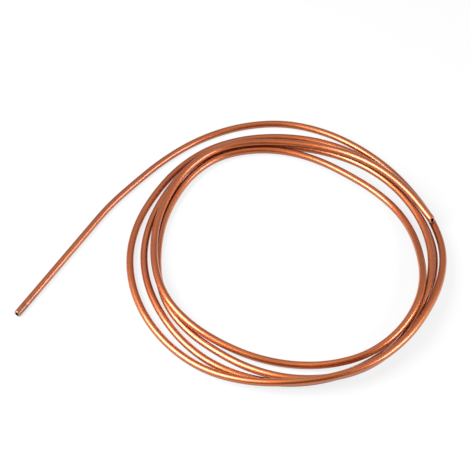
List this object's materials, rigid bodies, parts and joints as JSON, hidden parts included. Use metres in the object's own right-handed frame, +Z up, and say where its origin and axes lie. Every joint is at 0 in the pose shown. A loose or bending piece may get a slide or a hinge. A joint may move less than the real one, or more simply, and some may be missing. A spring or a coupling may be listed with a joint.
{
  "type": "annealed copper tube",
  "caption": "Bare soft copper tube wound by hand into a loose coil, with a long nearly straight tail and both ends cut square and open.",
  "frame": {"origin": "centre of the footprint's bounding box, on the level floor the coil lies on", "axes": "+X runs to the right along the longest extent, away from the tail's tip; +Y runs away from the viewer across the coil; +Z is up, the shortest extent"},
  "size_m": [0.2862, 0.2298, 0.0157],
  "materials": {
    "copper": "satin bare annealed copper with a light draw grain and a slight tarnish near the tail's tip"
  },
  "bodies": {
    "root": {"copper_tube": "copper"}
  },
  "joints": []
}
